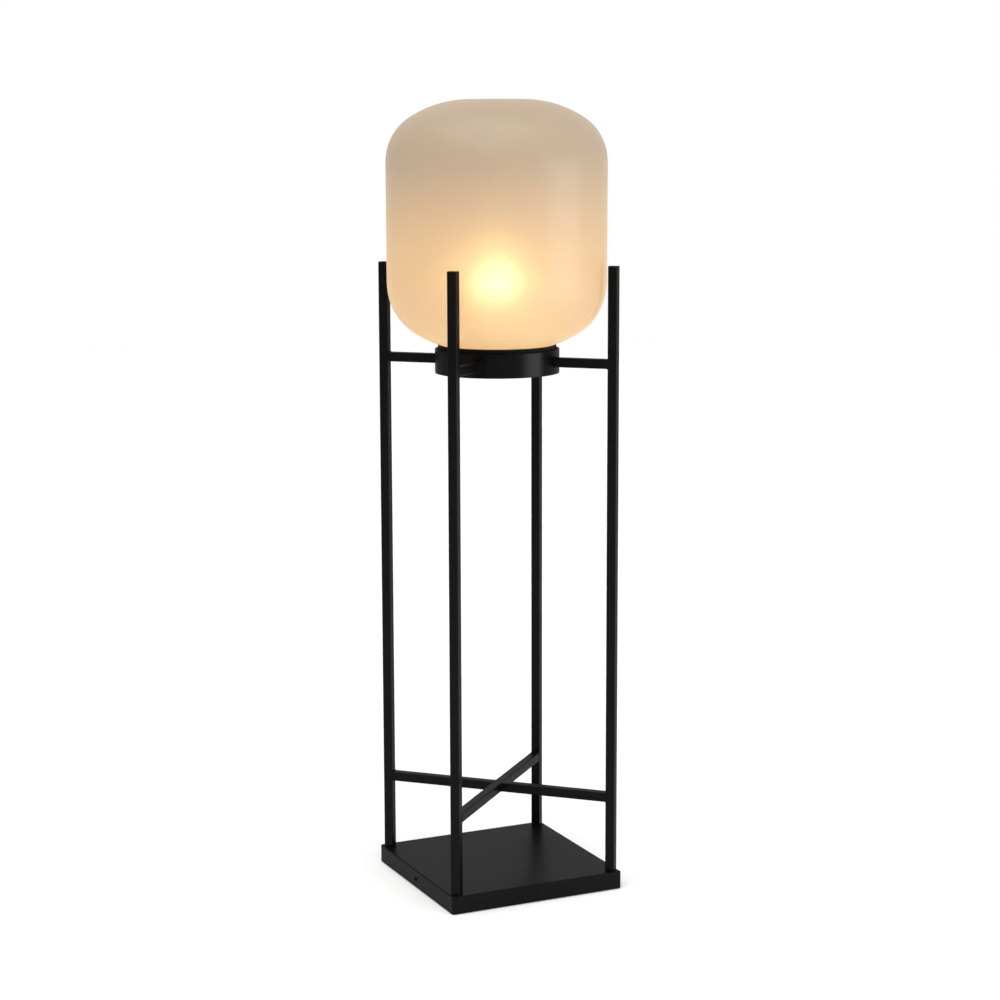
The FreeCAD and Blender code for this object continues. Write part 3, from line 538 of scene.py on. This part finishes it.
def make_bulb(glass, resin, metal):
    """Opal ball, flared housing and threaded cap of the bulb."""
    centre, flare_r, meet = bulb_flare()
    rim_r, rim_z = on_arc(centre, flare_r, meet)
    ball = (0.0, bulb_centre.z)
    dome = [(0.0, dome_high.z)] + arc(ball, bulb_r, 90, meet - 180)
    dome += [(rim_r - bulb_seam, rim_z - bulb_seam / 2), (0.0, rim_z - bulb_seam / 2)]
    turned_piece("bulb_ball", dome, glass, "bulb", "bulb_dome")
    body = [(0.0, body_low.z), (bulb_neck_r - bulb_seam, body_low.z), (bulb_neck_r, body_low.z + bulb_seam)]
    body += [(bulb_neck_r, centre[1])] + arc(centre, flare_r, 180, meet)
    body[-1] = (rim_r - bulb_seam / 3, rim_z - bulb_seam)
    body += [(rim_r - bulb_seam, rim_z - bulb_seam / 2), (0.0, rim_z - bulb_seam / 2)]
    turned_piece("bulb_housing", body, resin, "bulb", "bulb_body")
    outer = cap_high.x
    inner = outer - cap_sheet
    low = cap_low.z + cap_chamfer
    cap = [(outer - cap_chamfer, cap_low.z)] + wall(outer, low, cap_high.z)
    cap += wall(inner, cap_high.z, low) + [(inner - cap_chamfer, cap_low.z)]
    thread = threaded(low - thread_pitch / 3, cap_high.z - cap_collar)
    turned_piece("bulb_screw_cap", cap, metal, "bulb", "bulb_cap",
                 thread_steps, thread, thread_angle)


def make_screw_shell(material):
    """Drawn brass shell with the thread pressed through its wall."""
    outer = shell_r + cap_sheet
    profile = [(shell_flange_r, shell_low.z), (shell_flange_r, shell_low.z + shell_flange)]
    profile += wall(outer, shell_low.z + shell_flange, shell_high.z)
    profile += wall(shell_r, shell_high.z, shell_low.z)
    thread = threaded(shell_low.z + shell_plain, shell_high.z)
    turned_piece("screw_shell_drawn", profile, material, "root", "screw_shell",
                 thread_steps, thread, thread_angle)


def make_holder_sleeve(material):
    """Upper shell of the lampholder with a ribbed grip."""
    outer = sleeve_high.x
    inner = outer - sleeve_wall
    low = sleeve_low.z
    high = sleeve_high.z

    def ribs(radius, height, turn):
        if radius < outer - sleeve_wall / 2 or not low + grip_low < height < low + grip_high:
            return 0.0
        return -grip_depth * (0.5 - 0.5 * math.cos(grip_ribs * turn))

    profile = [(inner, low), (outer, low), (outer, low + grip_low), (outer, low + grip_low + grip_depth)]
    profile += [(outer, low + grip_high - grip_depth), (outer, low + grip_high)]
    profile += [(outer, high - sleeve_taper_height), (outer - sleeve_taper, high)]
    profile += [(sleeve_mouth_r, high), (sleeve_mouth_r, high - sleeve_rim), (inner, high - sleeve_rim)]
    turned_piece("holder_sleeve_ribbed", profile, material, "root", "holder_sleeve",
                 grip_ribs * rib_steps, ribs)


# ---- Welds ------------------------------------------------------------------------------------------
def rounded_loop(width, height):
    """Points round a rectangle with rounded corners: across, up and the way out."""
    half_x = width / 2 - bead_corner_r
    half_z = height / 2 - bead_corner_r
    loop = []
    corners = ((half_x, half_z), (-half_x, half_z), (-half_x, -half_z), (half_x, -half_z))
    for corner, (x, z) in enumerate(corners):
        for k in range(bead_corner_steps + 1):
            turn = math.radians(90 * corner + 90 * k / bead_corner_steps)
            way = (math.cos(turn), math.sin(turn))
            loop.append((x + bead_corner_r * way[0], z + bead_corner_r * way[1], way))
        length = 2 * (half_x if corner % 2 == 0 else half_z)
        steps = math.ceil(length / bead_step)
        last = loop[-1]
        for k in range(1, steps):
            run = length * k / steps
            loop.append((last[0] - way[1] * run, last[1] + way[0] * run, way))
    return loop


def bead(width, height, depth_at, azimuth, level):
    """Rippled weld bead round the end of a tube that lies along a radius: points and faces."""
    points = []
    travelled = 0.0
    loop = rounded_loop(width, height)
    for k, (across, up, way) in enumerate(loop):
        before = loop[k - 1]
        travelled += math.hypot(across - before[0], up - before[1]) if k else 0.0
        radius = bead_r * (1.0 + bead_ripple * math.sin(math.tau * travelled / bead_ripple_length))
        for side in range(bead_sides):
            turn = math.tau * side / bead_sides
            out = radius * math.cos(turn)
            depth = depth_at(across) + radius * math.sin(turn)
            place = Vector((depth, across + way[0] * out, up + way[1] * out))
            place.rotate(Matrix.Rotation(math.radians(azimuth), 3, "Z"))
            points.append((place.x, place.y, place.z + level))
    faces = []
    for k in range(len(loop)):
        here = k * bead_sides
        there = (k + 1) % len(loop) * bead_sides
        for side in range(bead_sides):
            beside = (side + 1) % bead_sides
            faces.append((here + side, here + beside, there + beside, there + side))
    return points, faces


def make_welds(name, beads, material):
    """One piece that holds several weld beads."""
    points = []
    faces = []
    for more_points, more_faces in beads:
        start = len(points)
        points += more_points
        faces += [tuple(start + corner for corner in face) for face in more_faces]
    piece = new_piece(name, points, faces, material, bead_angle)
    facing_out(piece)
    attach(piece, "root")


def make_all_welds(material):
    """The beads where the arms and the brace meet the posts, the ring and each other."""
    narrow = tube_side - 2 * bead_sunk
    arm_z = (arm_low.z + arm_high.z) / 2
    brace_z = (brace_low.z + brace_high.z) / 2

    def at_post(across):
        return post_face

    def at_ring(across):
        return math.sqrt(ring_r ** 2 - across ** 2)

    def at_bar(across):
        return tube_side / 2

    joints = (
        ("welds_arms_to_posts", narrow, tube_side, at_post, arm_z, diagonals),
        ("welds_arms_to_ring", tube_side, tube_side, at_ring, arm_z, diagonals),
        ("welds_brace_to_posts", narrow, tube_side, at_post, brace_z, diagonals),
        ("welds_brace_crossing", tube_side, narrow, at_bar, brace_z, half_brace_turns),
    )
    for name, width, height, depth_at, level, turns in joints:
        beads = [bead(width, height, depth_at, turn, level) for turn in turns]
        make_welds(name, beads, material)


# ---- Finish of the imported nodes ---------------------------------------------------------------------
def paint_nodes():
    """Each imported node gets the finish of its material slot."""
    finishes = {
        "black_steel": powder_coat(),
        "cast_weight": cast_iron(),
        "black_screws": plain_metal("black_oxide", (0.014, 0.014, 0.0145), 0.42),
        "zinc_steel": plain_metal("zinc_plate", (0.60, 0.61, 0.60), 0.34),
        "brass": plain_metal("brass", (0.74, 0.53, 0.24), 0.30),
        "black_rubber": moulded("rubber", (0.006, 0.006, 0.006), 0.75, shine=0.12),
        "black_plastic": moulded("black_resin", (0.016, 0.016, 0.017), 0.42),
        "block_plastic": moulded("white_resin", (0.78, 0.77, 0.73), 0.40),
        "lead_sheath": moulded("lead_sheath", (0.022, 0.022, 0.023), 0.50),
        "ceramic": moulded("glazed_ceramic", (0.82, 0.80, 0.75), 0.18, 300.0),
        "opal_dome": opal_light(),
        "bulb_white": moulded("bulb_white", (0.80, 0.80, 0.78), 0.30),
        "bulb_metal": plain_metal("nickel", (0.72, 0.70, 0.66), 0.26),
        "bulb_insulation": moulded("black_glass", (0.012, 0.012, 0.013), 0.12, 300.0),
    }
    for part in frame["record"]["subparts"]:
        node = frame["nodes"][part["node"]]
        if part["material_slot"] in finishes:
            paint(node, finishes[part["material_slot"]])
            soften(node, packed_angle)
    return finishes


# ---- Studio -----------------------------------------------------------------------------------------
def make_floor():
    """A pale round floor, wide enough to end far behind the lamp."""
    profile = [(0.0, 0.0), (floor_r, 0.0), (floor_r, -floor_thickness), (0.0, -floor_thickness)]
    points, faces = turned(profile)
    piece = new_piece("studio_floor", points, faces, floor_paint())
    facing_out(piece)


def make_backdrop():
    """White surroundings that light the lamp from behind more than from the front."""
    world = bpy.data.worlds.new("studio")
    bpy.context.scene.world = world
    world.use_nodes = True
    tree = world.node_tree
    tree.nodes.clear()
    seen = add(tree, "Background", {"Color": (1.0, 1.0, 1.0, 1.0), "Strength": 1.0})
    way = add(tree, "TexCoord").outputs["Generated"]
    behind = add(tree, "VectorMath", {0: way, 1: backdrop_way}, operation="DOT_PRODUCT").outputs["Value"]
    strength = spread(tree, behind, room_light, backdrop_light, backdrop_edge, 1.0, "SMOOTHSTEP")
    lit = add(tree, "Background", {"Color": (0.97, 0.98, 1.0, 1.0), "Strength": strength})
    ray = add(tree, "LightPath").outputs["Is Camera Ray"]
    both = add(tree, "MixShader", {0: ray, 1: lit.outputs[0], 2: seen.outputs[0]})
    add(tree, "OutputWorld", {"Surface": both.outputs[0]})


def softbox(name, place, target, width, height, power, colour=(1.0, 1.0, 1.0)):
    """A soft rectangular light turned towards its target."""
    light = bpy.data.lights.new(name, "AREA")
    light.shape = "RECTANGLE"
    light.size = width
    light.size_y = height
    light.energy = power
    light.color = colour
    lamp = bpy.data.objects.new(name, light)
    lamp.location = place
    way = Vector(target) - Vector(place)
    lamp.rotation_euler = way.to_track_quat("-Z", "Y").to_euler()
    bpy.context.scene.collection.objects.link(lamp)


def sky_light():
    """Even, very soft light from above, which keeps the floor as pale far off as near the lamp."""
    light = bpy.data.lights.new("sky_light", "SUN")
    light.energy = sky_power
    light.angle = math.radians(sky_softness)
    lamp = bpy.data.objects.new("sky_light", light)
    lamp.rotation_euler = (math.radians(sky_tilt[0]), math.radians(sky_tilt[1]), 0.0)
    bpy.context.scene.collection.objects.link(lamp)


def make_lights():
    """Light from above, a soft key from the front left and a low strip that shines on the ring."""
    sky_light()
    softbox("key_softbox", key_place, key_target, key_side, key_side, key_power, key_colour)
    softbox("strip_softbox", strip_place, strip_target, strip_width, strip_height, strip_power)


def make_camera():
    """A camera that stands and looks as the photograph's did."""
    lens = bpy.data.cameras.new("camera")
    lens.lens = camera_lens
    lens.sensor_width = camera_sensor
    lens.clip_start = camera_near
    lens.clip_end = camera_far
    camera = bpy.data.objects.new("camera", lens)
    forward = Vector((-math.sin(camera_yaw) * math.cos(camera_pitch),
                      math.cos(camera_yaw) * math.cos(camera_pitch), -math.sin(camera_pitch)))
    right = Vector((math.cos(camera_yaw), math.sin(camera_yaw), 0.0))
    up = right.cross(forward)
    level = Matrix((right, up, -forward)).transposed().to_4x4()
    camera.matrix_world = Matrix.Translation(camera_place) @ level @ Matrix.Rotation(camera_roll, 4, "Z")
    bpy.context.scene.collection.objects.link(camera)
    bpy.context.scene.camera = camera


# ---- Build ------------------------------------------------------------------------------------------
bpy.context.scene.view_settings.view_transform = "Standard"
make_camera()
make_backdrop()
make_floor()
make_lights()
finishes = paint_nodes()
make_shade(frosted_glass())
make_bulb(finishes["opal_dome"], finishes["bulb_white"], finishes["bulb_metal"])
make_screw_shell(finishes["brass"])
make_holder_sleeve(finishes["black_plastic"])
make_all_welds(finishes["black_steel"])
